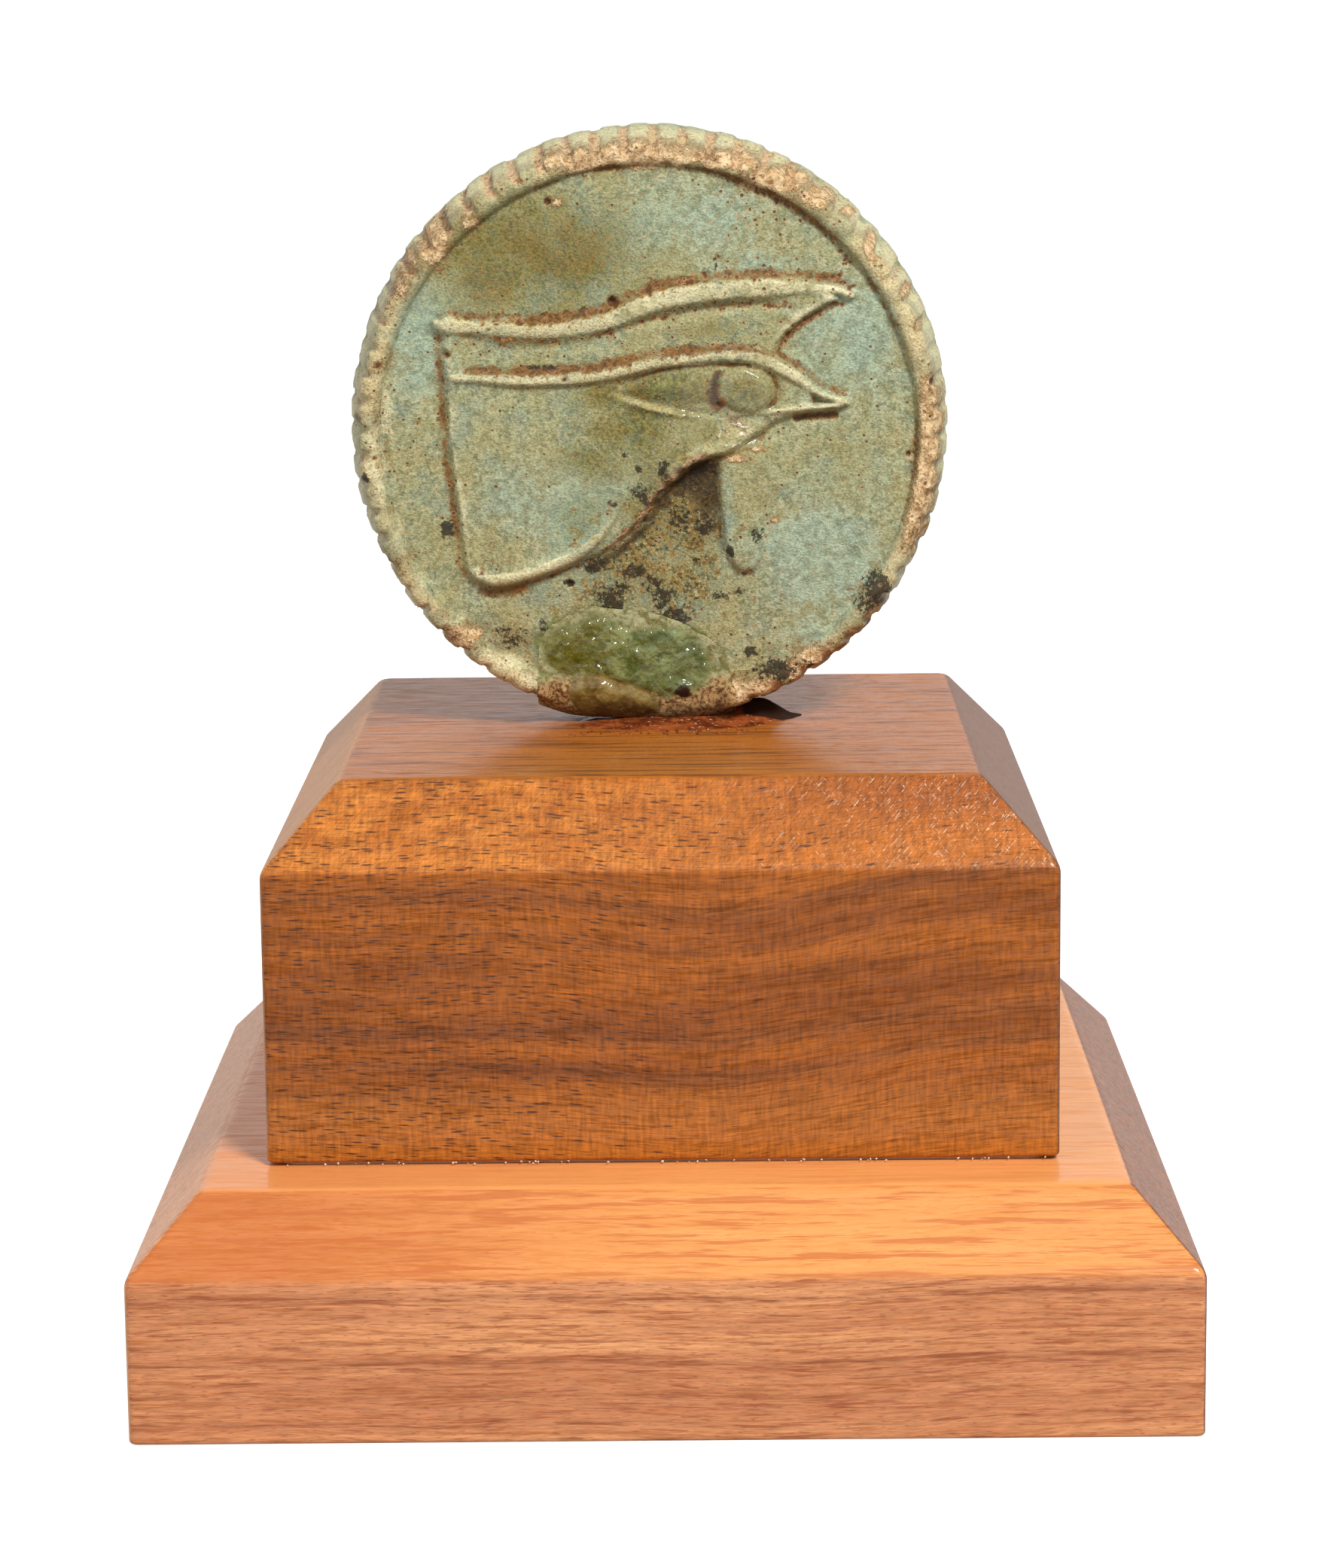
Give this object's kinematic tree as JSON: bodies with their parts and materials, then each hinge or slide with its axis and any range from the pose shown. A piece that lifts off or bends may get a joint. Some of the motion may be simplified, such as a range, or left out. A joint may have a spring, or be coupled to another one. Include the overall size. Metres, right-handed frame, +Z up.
{
  "type": "faience medallion",
  "caption": "Round glazed medallion with a ribbed rim and a raised eye relief, glued on edge to a stepped wooden display stand.",
  "frame": {"origin": "middle of the stand's underside, on the surface that it stands on", "axes": "+Z up, the medallion's face towards -Y, +X to the viewer's right"},
  "size_m": [0.1016, 0.1016, 0.1211],
  "materials": {
    "faience": "worn matt green glaze over a peach body, ribbed at the rim",
    "green_resin": "glossy tinted fill, olive to deep green",
    "clear_resin": "thin clear gloss film with bright edges",
    "dried_glue": "dried translucent glue, satin",
    "dark_walnut": "satin lacquer over golden brown grain",
    "light_walnut": "satin lacquer over fine orange pink grain"
  },
  "bodies": {
    "root": {"medallion": "faience", "foot_resin": "green_resin", "eye_resin": "clear_resin", "foot_glue": "dried_glue", "upper_block": "dark_walnut", "block_glue": "dried_glue", "lower_block": "light_walnut"}
  },
  "joints": []
}
